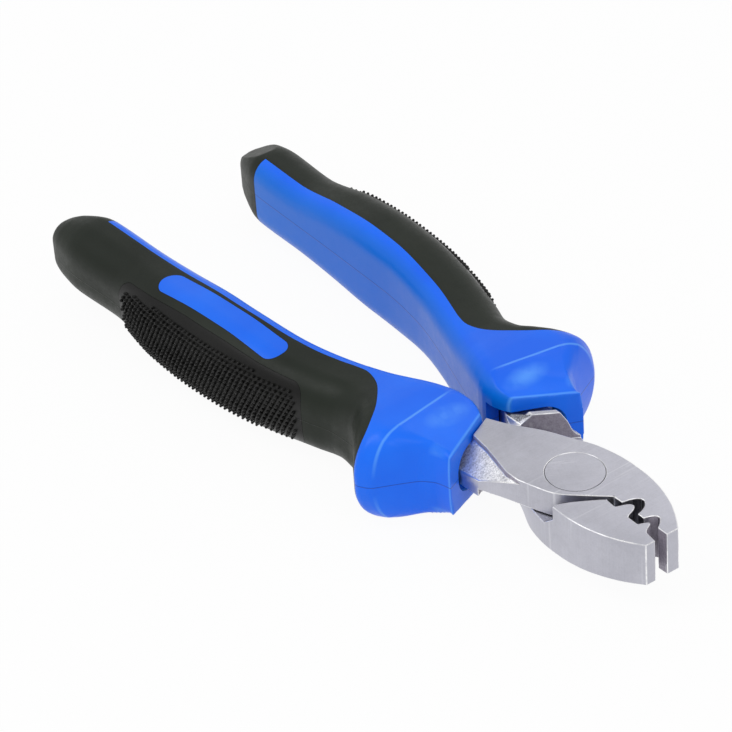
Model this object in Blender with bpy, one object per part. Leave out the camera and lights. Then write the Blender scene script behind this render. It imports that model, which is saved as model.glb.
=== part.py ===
# Crimping pliers: two forged lap-joint levers, a flush rivet and two two-colour grips.
# The model stands in the pose of the photo. Lengths are in millimetres, angles in degrees.
# Both halves are one blank: the far lever and its grip are the near ones turned over about the
# length, so each half is modelled once, in the frame of its own pivot, with its grip toward -Y.
import bpy
import bmesh
import math
import numpy as np
from mathutils import Vector

MM = 0.001

# head and joint
HEAD_THICK = 12.6          # over both levers at the pivot axis
FACE_TAPER = 2.2           # slope of each ground face toward the jaw tip
LAP_GAP = 0.3              # clearance between the levers in the lap
RIVET_RADIUS = 6.25
RIVET_GAP = 0.25           # ring gap around the rivet
RIVET_SIDES = 64
JAW_REACH = 27.8           # pivot axis to jaw tip
BOSS_REACH = 14.0          # pivot axis to the root of the crimping edges
NEST_SPAN = 13.8           # the nests are laid out on this length and stretch with the jaw
JAW_TIP_WIDE = 4.4         # middle line to the outer corner of the tip
TIP_GAP_CUP = 1.25         # middle line to each half of the tip's inner edge
TIP_GAP_TOOTH = 1.9
RIM_RADIUS = 11.0          # the lap is turned to this radius beside the jaw and leaves a rim
RIM_HEIGHT = 2.7           # height of the rim where it meets the jaw
RIM_START = 2.5            # the rim rises from the lap here

# tang of each lever, measured outward from the pivot on its own grip side
STEP_INNER = (-22.3, 3.2)  # ends of the step wall that faces the other lever
STEP_OUTER = (-15.3, 14.2)
STEP_LEDGE = 1.3           # width of the high ledge behind the step wall
STEP_CORNER = (-5.7, -7.3) # inner corner of the forged side, in y and z
STEP_CHAMFER = (2.4, 2.7)
SIDE_FRONT = -12.0         # the forged side begins here
BLOCK_END = -30.0          # the forged block ends here and the tang bar goes on
TANG_HALF = 4.8            # half thickness behind the ledge
TANG_CHAMFER = 1.5
TANG_GAP = 0.35            # clearance of the tang in its channel
RECESS_POINT = (-9.0, -11.3, 5.0)
RECESS_SLOPE = (0.059, 0.716)  # rise of the recess floor along x and along y

# grip
GRIP_END = -155.6
GRIP_HALF = 11.7           # half thickness where the grip is thickest
INNER_CORNER = (4.5, 5.0)  # corner width and height on the grip's inner side
TANG_END = GRIP_END + 25.6
FRONT_POINT = (-26.0, 4.5) # inner corner of the collar's front wall
FRONT_RUN = (6.2, 13.0)    # direction of that wall in plan
CREASE_POINT = (-34.6, 5.75)
CREASE_SKEW = 0.163        # how far the crease leans forward per unit outward
FACET_SLOPE = 0.31         # fall of the front facet
MOUTH_HALF = 5.8           # half height of the mouth around the tang
MOUTH_OUTER = 15.0
MOUTH_DEPTH = -34.0
MOUTH_TAPER = 3.0
COLLAR_GAP = 0.35          # clearance between the lever and the collar's front wall
SKIN = 2.4                 # thickness of the black overmould
SKIN_GAP = 0.3             # gap between core and overmould
CAP_EDGE = GRIP_END + 13.1 # the overmould closes the end behind this line
HEART_BACK = CAP_EDGE + 3.0    # ends of the core below the overmould
HEART_FRONT = -38.0
PAD_THICK = 1.3
PAD_RISE = 0.6             # how far the pad stands above the overmould
PAD_GAP = 0.25
PAD_EDGE = 3.0             # from the grip's face down to the edge of the pad
PAD_INNER = 22.0
PAD_FRONT = -61.7
PAD_BACK = -123.0
INLAY_THICK = 1.2
INLAY_GAP = 0.25
INLAY_CENTRE = (-92.5, 25.2)
INLAY_LENGTH = 42.0
INLAY_WIDTH = 6.6
INLAY_ROUND = 0.42         # corner radius as a share of the width
INLAY_TURN = -3.6

# fineness of the solids
EDGE_STEP = 1.5            # spacing along the plan outlines
NEST_STEP = 0.7            # spacing along the crimping nests
CORNER_STEPS = 6           # points on each corner of a grip section
RINGS_PER_SPAN = 2

# the pivot axis in the object frame
PIVOT_X = (-GRIP_END - JAW_REACH) / 2
MID_Z = GRIP_HALF

STEEL = (0.42, 0.42, 0.46)
BLUE = (0.02, 0.13, 0.85)
BLACK = (0.028, 0.028, 0.025)
PAD_BLACK = (0.012, 0.012, 0.011)

BIG = 60.0                 # cutters reach this far past the part

# outer edge of a lever in plan from the tang to the boss, then as shares from the root to the tip
BACK_EDGE = ((BLOCK_END, -4.7), (-27.6, -3.3), (-23.7, -1.4), (-19.8, 0.9), (-14.9, 4.2), (-9.9, 6.6),
             (-5.0, 9.0), (-1.0, 10.2), (3.0, 10.9), (7.0, 11.1))
JAW_EDGE = ((-0.217, 11.0), (0.073, 10.4), (0.326, 9.4), (0.543, 8.2), (0.761, 6.6), (1.0, JAW_TIP_WIDE))
# edge of the boss and side of the tang, back from the slot
SLOT_EDGE = ((11.4, 0.9), (8.6, -2.2), (4.0, -7.0), (1.2, -8.7), (-2.0, -9.8), (-5.7, -11.0),
             (-9.0, -12.0), (-12.0, -13.1), (-15.0, -14.2))
TANG_SIDE = ((-19.0, -14.4), (BLOCK_END, -14.9))
# edge of the jaw step beside the slot
JAW_STEP = ((5.8, 10.0), (7.0, 7.3), (9.0, 4.0), (10.5, 1.7), (11.1, 1.0))
# crimping edges as distances back from the tip: flats and nests in turn
CUP_RUNS = (((0.0, TIP_GAP_CUP), (2.9, TIP_GAP_CUP)),
            ((2.9, TIP_GAP_CUP), (3.5, 2.2), (4.1, 2.9), (4.9, 3.6), (5.4, 3.7), (6.1, 3.3), (6.7, 2.3),
             (7.0, 1.0)),
            ((7.0, 1.0), (8.9, 1.0)),
            ((8.9, 1.0), (9.2, 2.2), (9.8, 3.5), (10.6, 4.4), (11.4, 4.9), (12.1, 4.8), (12.9, 4.0),
             (13.5, 2.6), (13.8, 0.95)))
TOOTH_RUNS = (((0.0, TIP_GAP_TOOTH), (3.1, 1.5)),
              ((3.1, 1.5), (3.7, 0.9), (4.3, -0.2), (4.7, -0.9), (5.1, -1.1), (5.6, -0.7), (6.0, 0.1),
               (6.4, 1.15)),
              ((6.4, 1.15), (9.3, 1.15)),
              ((9.3, 1.15), (9.7, 0.6), (10.3, -1.0), (10.9, -1.9), (11.4, -2.3), (11.9, -2.25),
               (12.5, -1.8), (13.1, -0.6), (13.6, 0.8), (13.8, 1.05)))
# forged side of each tang below the lap, in y and z
SIDE_A = ((-7.4, STEP_CORNER[1]), (-8.7, -5.2), (-10.6, -3.3), (-12.7, -2.0), (-15.2, -1.7))
SIDE_B = ((-10.4, STEP_CORNER[1]), (-11.9, -4.5), (-12.7, -2.1), (-13.5, -0.9), (-15.2, -0.1))
# edge of the recess beside the ground face of the tang
RECESS_EDGE = ((-5.7, -11.0), (-9.3, -11.1), (-18.3, -9.2), (-23.0, -8.7), (-BIG, -8.0))

# grip sections: x, inner side, outer side, share of GRIP_HALF, outer corner width, its height as a
# share of the half thickness there
GRIP_ROWS = ((GRIP_END, 25.4, 29.4, 0.274, 1.8, 0.625),
             (GRIP_END + 1.2, 23.4, 31.0, 0.453, 3.6, 0.679),
             (GRIP_END + 5.6, 20.9, 32.4, 0.632, 6.0, 0.743),
             (GRIP_END + 12.6, 18.9, 33.1, 0.752, 7.5, 0.795),
             (-128.0, 18.0, 33.0, 0.812, 7.5, 0.789),
             (-112.0, 17.6, 34.0, 0.906, 8.0, 0.755),
             (-97.0, 17.0, 33.5, 1.0, 8.0, 0.684),
             (-88.0, 16.6, 32.9, 1.0, 8.0, 0.684),
             (-74.0, 14.7, 31.0, 0.915, 7.5, 0.701),
             (-60.0, 10.8, 27.3, 0.855, 7.0, 0.7),
             (-52.0, 8.1, 25.1, 0.872, 7.0, 0.784),
             (-46.5, 6.2, 24.9, 0.923, 6.0, 0.648),
             (-42.0, 4.6, 26.6, 0.974, 5.0, 0.526),
             (-38.0, 3.3, 29.9, 1.0, 6.5, 0.641),
             (-34.0, 2.2, 32.8, 1.0, 9.0, 0.897),
             (-31.0, 2.2, 31.2, 1.0, 9.0, 0.983),
             (-28.5, 2.8, 27.0, 1.0, 7.0, 0.983),
             (-26.0, 4.0, 22.6, 1.0, 4.0, 0.94),
             (-23.0, 4.6, 19.9, 1.0, 2.5, 0.855),
             (-18.0, 5.0, 17.8, 1.0, 2.0, 0.769))
# line between the blue core and the black overmould on both faces
SKIN_LINE = ((CAP_EDGE, 22.6), (-126.0, 22.0), (-113.0, 21.8), (-102.0, 21.4), (-90.0, 20.8), (-79.0, 19.6),
             (-69.0, 17.8), (-62.0, 15.8), (-57.0, 14.2), (-53.3, 13.7), (-48.6, 15.2), (-43.9, 18.6),
             (-40.0, 22.2), (-36.6, 26.6), (-35.2, 30.0), (-34.4, 36.0))
# tang inside the grip: x, inner side, outer side, half thickness
TANG_ROWS = ((TANG_END, 22.2, 27.8, 3.2), (-105.0, 21.4, 28.6, 3.9), (-75.0, 19.0, 26.4, 4.2),
             (-52.0, 12.4, 20.6, 4.4), (-36.0, 6.8, 15.8, 4.6), (-25.0, 3.6, 14.3, TANG_HALF))


def material(name, colour, roughness, metallic):
    mat = bpy.data.materials.new(name)
    mat.use_nodes = True
    shader = mat.node_tree.nodes["Principled BSDF"]
    shader.inputs["Base Color"].default_value = (*colour, 1.0)
    shader.inputs["Roughness"].default_value = roughness
    shader.inputs["Metallic"].default_value = metallic
    return mat


def add_object(name, mesh, collection, frame):
    obj = bpy.data.objects.new(name, mesh)
    collection.objects.link(obj)
    obj.parent = frame
    return obj


def flow(points, step):
    """Smooth curve through points, both ends kept; two points stay a straight line."""
    if len(points) == 2:
        return list(points)
    ends = [2 * Vector(points[0]) - Vector(points[1]), 2 * Vector(points[-1]) - Vector(points[-2])]
    line = [ends[0]] + [Vector(p) for p in points] + [ends[1]]
    out = []
    for a, b, c, d in zip(line, line[1:], line[2:], line[3:]):
        count = max(1, round((c - b).length / step))
        for k in range(count):
            t = k / count
            out.append(tuple(0.5 * (2 * b + (c - a) * t + (2 * a - 5 * b + 4 * c - d) * t * t
                                    + (3 * b - a - 3 * c + d) * t**3)))
    return out + [tuple(points[-1])]


def plate(name, outline, low, high, collection, frame):
    """Flat outline with a thickness, from a filled 2D curve."""
    curve = bpy.data.curves.new(name, "CURVE")
    curve.dimensions = "2D"
    curve.fill_mode = "BOTH"
    curve.extrude = (high - low) / 2 * MM
    spline = curve.splines.new("POLY")
    spline.points.add(len(outline) - 1)
    for point, (x, y) in zip(spline.points, outline):
        point.co = (x * MM, y * MM, 0.0, 1.0)
    spline.use_cyclic_u = True
    guide = bpy.data.objects.new(name + "_outline", curve)
    mesh = bpy.data.meshes.new_from_object(guide)
    bpy.data.objects.remove(guide)
    work = bmesh.new()
    work.from_mesh(mesh)
    bmesh.ops.remove_doubles(work, verts=work.verts, dist=1e-7)
    bmesh.ops.translate(work, verts=work.verts, vec=(0.0, 0.0, (high + low) / 2 * MM))
    bmesh.ops.recalc_face_normals(work, faces=work.faces)
    work.to_mesh(mesh)
    work.free()
    mesh.name = name
    return add_object(name, mesh, collection, frame)


def cross_bar(name, outline, x0, x1, collection, frame):
    """Plate whose outline lies in y and z and whose thickness runs along x."""
    bar = plate(name, outline, x0, x1, collection, frame)
    bar.rotation_euler = (math.pi / 2, 0.0, math.pi / 2)
    return bar


def slab(name, point, normal, collection, frame):
    """Half space above a plane, as a large block."""
    mesh = bpy.data.meshes.new(name)
    work = bmesh.new()
    bmesh.ops.create_cube(work, size=4 * BIG * MM)
    bmesh.ops.translate(work, verts=work.verts, vec=(0.0, 0.0, 2 * BIG * MM))
    work.to_mesh(mesh)
    work.free()
    block = add_object(name, mesh, collection, frame)
    block.location = Vector(point) * MM
    block.rotation_euler = Vector((0.0, 0.0, 1.0)).rotation_difference(Vector(normal)).to_euler()
    return block


def round_bar(name, radius, half_length, collection, frame):
    mesh = bpy.data.meshes.new(name)
    work = bmesh.new()
    bmesh.ops.create_cone(work, cap_ends=True, segments=RIVET_SIDES, radius1=radius * MM,
                          radius2=radius * MM, depth=2 * half_length * MM)
    work.to_mesh(mesh)
    work.free()
    return add_object(name, mesh, collection, frame)


def loft(name, rings, collection, frame):
    """Closed skin over sections with equal point counts."""
    work = bmesh.new()
    rows = [[work.verts.new(Vector(v) * MM) for v in ring] for ring in rings]
    for row in (rows[0], rows[-1]):
        work.faces.new(row)
    for near, far in zip(rows, rows[1:]):
        for i in range(len(near)):
            j = (i + 1) % len(near)
            work.faces.new((near[i], near[j], far[j], far[i]))
    bmesh.ops.recalc_face_normals(work, faces=work.faces)
    mesh = bpy.data.meshes.new(name)
    work.to_mesh(mesh)
    work.free()
    return add_object(name, mesh, collection, frame)


def boolean(obj, operation, cutter):
    mod = obj.modifiers.new(operation.title() + "_" + cutter.name, "BOOLEAN")
    mod.operation = operation
    mod.solver = "EXACT"
    mod.object = cutter
    return obj


def column_value(rows, column, x):
    """Smooth curve through one column of a table, without overshoot between rows."""
    xs = np.array([row[0] for row in rows])
    vs = np.array([row[column] for row in rows])
    step = np.diff(xs)
    slope = np.diff(vs) / step
    tangent = np.zeros(len(xs))
    for i in range(1, len(xs) - 1):
        if slope[i - 1] * slope[i] > 0:
            w1 = 2 * step[i] + step[i - 1]
            w2 = step[i] + 2 * step[i - 1]
            tangent[i] = (w1 + w2) / (w1 / slope[i - 1] + w2 / slope[i])
    tangent[0] = slope[0]
    tangent[-1] = slope[-1]
    i = int(np.clip(np.searchsorted(xs, x) - 1, 0, len(xs) - 2))
    t = (x - xs[i]) / step[i]
    return float((2 * t**3 - 3 * t**2 + 1) * vs[i] + (t**3 - 2 * t**2 + t) * step[i] * tangent[i]
                 + (3 * t**2 - 2 * t**3) * vs[i + 1] + (t**3 - t**2) * step[i] * tangent[i + 1])


def outward(outline):
    """Plan outline measured outward from the pivot, placed on the grip's side."""
    return [(x, -y) for x, y in outline]


def grip_ring(x, inset):
    """Rounded section of the grip at x, moved inward by inset."""
    inner, outer, half, wide, high = (column_value(GRIP_ROWS, k, x) for k in range(1, 6))
    half *= GRIP_HALF
    high *= half
    inner_wide = min(INNER_CORNER[0], 0.45 * (outer - inner))
    inner_high = min(INNER_CORNER[1], 0.6 * half)
    corners = ((outer, 1, 1, wide, high), (inner, -1, 1, inner_wide, inner_high),
               (inner, -1, -1, inner_wide, inner_high), (outer, 1, -1, wide, high))
    ring = []
    for quarter, (side, across, upward, rw, rh) in enumerate(corners):
        rw = max(rw - inset, 0.4)
        rh = max(rh - inset, 0.4)
        cy = side - across * (inset + rw)
        cz = upward * (half - inset - rh)
        for k in range(CORNER_STEPS):
            angle = math.pi / 2 * (quarter + k / (CORNER_STEPS - 1))
            ring.append((x, -(cy + rw * math.cos(angle)), cz + rh * math.sin(angle)))
    return ring


def grip_rings(x0, x1, inset):
    stations = [row[0] for row in GRIP_ROWS]
    between = [a + (b - a) * k / RINGS_PER_SPAN for a, b in zip(stations, stations[1:])
               for k in range(RINGS_PER_SPAN)]
    xs = [x0] + [x for x in between if x0 + 0.5 < x < x1 - 0.5] + [x1]
    return [grip_ring(x, inset) for x in xs]


def tang_rings(x0, x1, gap):
    rings = []
    for x in [x0] + [row[0] for row in TANG_ROWS if x0 < row[0] < x1] + [x1]:
        inner, outer, half = (column_value(TANG_ROWS, k, max(x, TANG_END)) for k in (1, 2, 3))
        inner -= gap
        outer += gap
        half += gap
        c = TANG_CHAMFER
        section = ((outer, half - c), (outer - c, half), (inner + c, half), (inner, half - c),
                   (inner, c - half), (inner + c, -half), (outer - c, -half), (outer, c - half))
        rings.append([(x, -y, z) for y, z in section])
    return rings


def pad_rings(grow):
    """Space of the pad, whose edges keep their distance from the grip's faces."""
    rings = []
    for x in [PAD_BACK] + [row[0] for row in GRIP_ROWS if PAD_BACK < row[0] < PAD_FRONT] + [PAD_FRONT]:
        half = GRIP_HALF * column_value(GRIP_ROWS, 3, x) - PAD_EDGE + grow
        rings.append([(x, -y, z) for y, z in ((PAD_INNER - grow, -half), (BIG, -half), (BIG, half),
                                              (PAD_INNER - grow, half))])
    rings[0] = [(x - grow, y, z) for x, y, z in rings[0]]
    rings[-1] = [(x + grow, y, z) for x, y, z in rings[-1]]
    return rings


def skin_outline(grow):
    """Plan region of the overmould: outward of the skin line and around the grip's end."""
    line = flow(SKIN_LINE, 2 * EDGE_STEP)
    moved = []
    for i, (x, y) in enumerate(line):
        along = (Vector(line[min(i + 1, len(line) - 1)]) - Vector(line[max(i - 1, 0)])).normalized()
        moved.append((x + along.y * grow, y - along.x * grow))
    edge = CAP_EDGE + grow
    moved[0] = (edge, moved[0][1])
    return outward(moved + [(moved[-1][0], 2 * BIG), (-4 * BIG, 2 * BIG), (-4 * BIG, -BIG), (edge, -BIG)])


def inlay_outline(grow):
    """Bar with rounded corners on the grip's face."""
    half_l = INLAY_LENGTH / 2 + grow
    half_w = INLAY_WIDTH / 2 + grow
    r = INLAY_ROUND * INLAY_WIDTH + grow
    c = math.cos(math.radians(INLAY_TURN))
    s = math.sin(math.radians(INLAY_TURN))
    points = []
    for quarter, (sx, sy) in enumerate(((1, 1), (-1, 1), (-1, -1), (1, -1))):
        for k in range(CORNER_STEPS):
            angle = math.pi / 2 * (quarter + k / (CORNER_STEPS - 1))
            x = sx * (half_l - r) + r * math.cos(angle)
            y = sy * (half_w - r) + r * math.sin(angle)
            points.append((INLAY_CENTRE[0] + c * x - s * y, INLAY_CENTRE[1] + s * x + c * y))
    return outward(points)


def front_plane(shift):
    """Point and normal of the collar's front wall, moved forward by shift."""
    normal = Vector((FRONT_RUN[1], FRONT_RUN[0], 0.0)).normalized()
    return Vector((FRONT_POINT[0], -FRONT_POINT[1], 0.0)) + normal * shift, normal


def ground_faces(cutters, frame):
    """Cutters above and below the tapered head, which all steel pieces share."""
    lean = math.sin(math.radians(FACE_TAPER))
    rise = math.cos(math.radians(FACE_TAPER))
    return [slab("ground_" + side, (0.0, 0.0, way * HEAD_THICK / 2), (lean, 0.0, way * rise), cutters, frame)
            for side, way in (("top", 1), ("bottom", -1))]


def build_lever(name, runs, side, ground, frame, parts, cutters, steel):
    jaw = JAW_REACH - BOSS_REACH
    edge = [point for run in runs for point in flow(run, NEST_STEP)[:-1]] + [runs[-1][-1]]
    back = BACK_EDGE + tuple((BOSS_REACH + share * jaw, y) for share, y in JAW_EDGE)
    outline = (flow(back, EDGE_STEP) + [(JAW_REACH - x * jaw / NEST_SPAN, y) for x, y in edge]
               + flow(SLOT_EDGE, EDGE_STEP) + list(TANG_SIDE))
    lever = plate(name, outline, -BIG, BIG, parts, frame)
    lever.data.materials.append(steel)

    # lap: everything below the middle plane between the jaw step and the step wall
    inner = Vector(STEP_INNER)
    outer = Vector(STEP_OUTER)
    run = (outer - inner).normalized()
    wall = outward([tuple(outer + run * BIG / 2), tuple(outer), tuple(inner), tuple(inner - run * BIG)])
    outline = [(JAW_STEP[0][0], BIG)] + flow(JAW_STEP, EDGE_STEP) + [(JAW_STEP[-1][0], -BIG)] + wall
    lap = plate(name + "_lap", outline, -2 * BIG, LAP_GAP / 2, cutters, frame)

    # rim that the turned lap leaves beside the jaw, rising toward it
    ends = [math.acos(x / RIM_RADIUS) for x in (RIM_START, JAW_STEP[0][0] + 2.0)]
    arc = [(RIM_RADIUS * math.cos(angle), RIM_RADIUS * math.sin(angle))
           for angle in np.linspace(*ends, CORNER_STEPS)]
    rim = plate(name + "_rim", arc + [(arc[-1][0], BIG / 2), (RIM_START, BIG / 2)], -BIG, BIG, cutters, frame)
    slope = RIM_HEIGHT / (JAW_STEP[0][0] - RIM_START)
    boolean(rim, "INTERSECT", slab(name + "_rim_top", (RIM_START, 0.0, 0.0), (slope, 0.0, 1.0), cutters, frame))
    boolean(lap, "DIFFERENCE", rim)
    boolean(lever, "DIFFERENCE", lap)

    # the forged side of the tang falls away behind a high ledge
    aside = Vector((-run.y, run.x)) * STEP_LEDGE
    low = outward([tuple(outer + run * BIG / 2 + aside), tuple(inner - run * BIG + aside)])
    low += [(-2 * BIG, BIG), (-2 * BIG, -BIG)]
    boolean(lever, "DIFFERENCE", plate(name + "_ledge", low, -2 * BIG, -TANG_HALF, cutters, frame))
    below = side + ((-BIG, side[-1][1]), (-BIG, -2 * BIG), (side[0][0], -2 * BIG))
    boolean(lever, "DIFFERENCE", cross_bar(name + "_side", below, BLOCK_END, SIDE_FRONT, cutters, frame))
    y, z = STEP_CORNER
    top = z + STEP_CHAMFER[1]
    inside = ((y + STEP_CHAMFER[0], top), (y, z), (y, -2 * BIG), (BIG, -2 * BIG), (BIG, top))
    boolean(lever, "DIFFERENCE",
            cross_bar(name + "_inside", inside, BLOCK_END, STEP_OUTER[0], cutters, frame))

    # ground faces, and the forged recess beside the upper one
    for cutter in ground:
        boolean(lever, "DIFFERENCE", cutter)
    recess = plate(name + "_recess", RECESS_EDGE + ((-BIG, -BIG), (RECESS_EDGE[0][0], -BIG)), 0.0, BIG,
                   cutters, frame)
    normal = (-RECESS_SLOPE[0], -RECESS_SLOPE[1], 1.0)
    boolean(recess, "INTERSECT", slab(name + "_recess_floor", RECESS_POINT, normal, cutters, frame))
    boolean(lever, "DIFFERENCE", recess)

    # seat in the collar's mouth, tang bar and rivet bore
    point, normal = front_plane(COLLAR_GAP)
    seat = slab(name + "_seat", point, -normal, cutters, frame)
    height = MOUTH_HALF - COLLAR_GAP
    boolean(seat, "INTERSECT", slab(name + "_seat_floor", (0.0, 0.0, height), (0.0, 0.0, 1.0), cutters, frame))
    boolean(lever, "DIFFERENCE", seat)
    boolean(lever, "UNION", loft(name + "_tang", tang_rings(TANG_END, TANG_ROWS[-1][0], 0.0), cutters, frame))
    bore = round_bar(name + "_bore", RIVET_RADIUS + RIVET_GAP, HEAD_THICK, cutters, frame)
    boolean(lever, "DIFFERENCE", bore)


def build_rivet(ground, frame, parts, steel):
    rivet = round_bar("pivot_rivet", RIVET_RADIUS, HEAD_THICK, parts, frame)
    rivet.data.materials.append(steel)
    for cutter in ground:
        boolean(rivet, "DIFFERENCE", cutter)


def build_grip(letter, frame, parts, cutters, mats):
    """Core, overmould, pad and inlay of one grip."""
    def named(label):
        return "grip_" + label + "_" + letter

    def form(label, collection, x0, x1, inset):
        return loft(named(label), grip_rings(x0, x1, inset), collection, frame)

    whole = (GRIP_END, GRIP_ROWS[-1][0])
    pad_span = (PAD_BACK - 4.0, PAD_FRONT + 4.0)

    # blue core: inner side, collar and guard, with the channel for the tang
    core = form("core", parts, *whole, 0.0)
    for side, way in (("top", 1), ("bottom", -1)):
        point = (CREASE_POINT[0], -CREASE_POINT[1], way * GRIP_HALF)
        normal = (FACET_SLOPE, FACET_SLOPE * CREASE_SKEW, way)
        boolean(core, "DIFFERENCE", slab(named("facet_" + side), point, normal, cutters, frame))
    boolean(core, "DIFFERENCE", slab(named("front"), *front_plane(0.0), cutters, frame))
    boolean(core, "DIFFERENCE",
            plate(named("skin_space"), skin_outline(SKIN_GAP), -BIG, BIG, cutters, frame))
    boolean(core, "UNION", form("heart", cutters, HEART_BACK, HEART_FRONT, SKIN))
    channel = tang_rings(TANG_END - TANG_GAP, TANG_ROWS[-1][0], TANG_GAP)
    boolean(core, "DIFFERENCE", loft(named("channel"), channel, cutters, frame))
    mouth = outward([(MOUTH_DEPTH, -BIG), (BIG, -BIG), (BIG, MOUTH_OUTER),
                     (MOUTH_DEPTH + MOUTH_TAPER, MOUTH_OUTER)])
    boolean(core, "DIFFERENCE", plate(named("mouth"), mouth, -MOUTH_HALF, MOUTH_HALF, cutters, frame))

    # black overmould around the core
    skin = form("skin", parts, *whole, 0.0)
    boolean(skin, "INTERSECT", plate(named("skin_region"), skin_outline(0.0), -BIG, BIG, cutters, frame))
    boolean(skin, "DIFFERENCE",
            form("heart_space", cutters, HEART_BACK - SKIN_GAP, HEART_FRONT + SKIN_GAP, SKIN - SKIN_GAP))
    pad_space = loft(named("pad_space"), pad_rings(PAD_GAP), cutters, frame)
    boolean(pad_space, "DIFFERENCE", form("pad_floor", cutters, *pad_span, PAD_THICK + PAD_GAP))
    boolean(skin, "DIFFERENCE", pad_space)
    window = plate(named("inlay_space"), inlay_outline(INLAY_GAP), 0.0, BIG, cutters, frame)
    boolean(window, "DIFFERENCE", form("inlay_floor", cutters, *pad_span, INLAY_THICK + INLAY_GAP))
    boolean(skin, "DIFFERENCE", window)

    # pimpled pad on the outer side
    pad = form("pad", parts, PAD_BACK - 2.0, PAD_FRONT + 2.0, -PAD_RISE)
    boolean(pad, "INTERSECT", loft(named("pad_region"), pad_rings(0.0), cutters, frame))
    boolean(pad, "DIFFERENCE", form("pad_back", cutters, *pad_span, PAD_THICK))

    # oval inlay on one face
    inlay = form("inlay", parts, *whole, 0.0)
    boolean(inlay, "INTERSECT", plate(named("inlay_region"), inlay_outline(0.0), 0.0, BIG, cutters, frame))
    boolean(inlay, "DIFFERENCE", form("inlay_back", cutters, *pad_span, INLAY_THICK))

    for piece, mat in ((core, "blue"), (skin, "black"), (pad, "pad"), (inlay, "blue")):
        piece.data.materials.append(mats[mat])


def main():
    for obj in list(bpy.data.objects):
        bpy.data.objects.remove(obj)
    parts = bpy.data.collections.new("crimping_pliers")
    cutters = bpy.data.collections.new("cutters")
    for collection in (parts, cutters):
        bpy.context.scene.collection.children.link(collection)

    frames = []
    for name, turn in (("lever_a_pivot", 0.0), ("lever_b_pivot", math.pi)):
        frame = bpy.data.objects.new(name, None)
        frame.location = (PIVOT_X * MM, 0.0, MID_Z * MM)
        frame.rotation_euler = (turn, 0.0, 0.0)
        parts.objects.link(frame)
        frames.append(frame)

    steel = material("satin_steel", STEEL, 0.38, 1.0)
    mats = {"blue": material("blue_plastic", BLUE, 0.35, 0.0),
            "black": material("black_rubber", BLACK, 0.6, 0.0),
            "pad": material("pad_rubber", PAD_BLACK, 0.8, 0.0)}
    ground = ground_faces(cutters, frames[0])
    build_lever("lever_a", CUP_RUNS, SIDE_A, ground, frames[0], parts, cutters, steel)
    build_lever("lever_b", TOOTH_RUNS, SIDE_B, ground, frames[1], parts, cutters, steel)
    build_rivet(ground, frames[0], parts, steel)
    build_grip("a", frames[0], parts, cutters, mats)
    build_grip("b", frames[1], parts, cutters, mats)

    for obj in cutters.objects:
        obj.hide_render = True
        obj.display_type = "WIRE"


main()
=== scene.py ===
import bpy
import bmesh
import numpy as np
from math import sin, cos, pi, radians, atan2
from mathutils import Vector, Matrix

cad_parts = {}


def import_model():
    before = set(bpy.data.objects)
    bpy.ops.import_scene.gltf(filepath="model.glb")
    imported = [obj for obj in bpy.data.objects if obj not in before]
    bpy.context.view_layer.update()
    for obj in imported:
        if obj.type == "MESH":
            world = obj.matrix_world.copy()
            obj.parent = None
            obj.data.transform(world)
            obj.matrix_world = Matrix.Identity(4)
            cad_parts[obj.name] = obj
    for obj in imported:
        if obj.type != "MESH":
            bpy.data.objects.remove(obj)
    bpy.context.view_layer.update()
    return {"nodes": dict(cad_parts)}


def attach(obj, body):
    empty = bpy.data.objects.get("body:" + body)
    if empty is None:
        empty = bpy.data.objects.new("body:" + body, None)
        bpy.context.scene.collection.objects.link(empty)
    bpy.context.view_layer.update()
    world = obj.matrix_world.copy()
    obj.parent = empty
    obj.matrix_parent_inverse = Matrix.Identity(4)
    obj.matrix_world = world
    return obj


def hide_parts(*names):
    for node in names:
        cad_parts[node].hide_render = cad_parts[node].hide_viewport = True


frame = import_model()
nodes = frame["nodes"]
mm = 0.001
pivotSpot = Vector((63.9, 0.0, 11.7))  # pivot axis at half thickness, all sizes below in mm from here
lookup = {}

print("helpers")


def deselectAll():
    if bpy.context.object and bpy.context.object.mode != "OBJECT":
        bpy.ops.object.mode_set(mode="OBJECT")
    bpy.ops.object.select_all(action="DESELECT")


def pick(piece):
    deselectAll()
    piece.select_set(True)
    bpy.context.view_layer.objects.active = piece
    return piece


def world(point):
    return (Vector(point) + pivotSpot) * mm


def finishModifiers(piece):
    pick(piece)
    for mod in list(piece.modifiers):
        bpy.ops.object.modifier_apply(modifier=mod.name)


def cutWith(piece, cutter, way="DIFFERENCE"):
    mod = piece.modifiers.new("cut", "BOOLEAN")
    mod.object = cutter
    mod.operation = way
    mod.solver = "MANIFOLD"
    finishModifiers(piece)
    bpy.data.objects.remove(cutter)


def cutPlane(piece, point, normal):
    # everything past the plane goes, and the cut is closed
    pick(piece)
    bpy.ops.object.mode_set(mode="EDIT")
    bpy.ops.mesh.select_all(action="SELECT")
    bpy.ops.mesh.bisect(plane_co=world(point), plane_no=Vector(normal).normalized(), use_fill=True,
                        clear_outer=True)
    bpy.ops.object.mode_set(mode="OBJECT")


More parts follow.
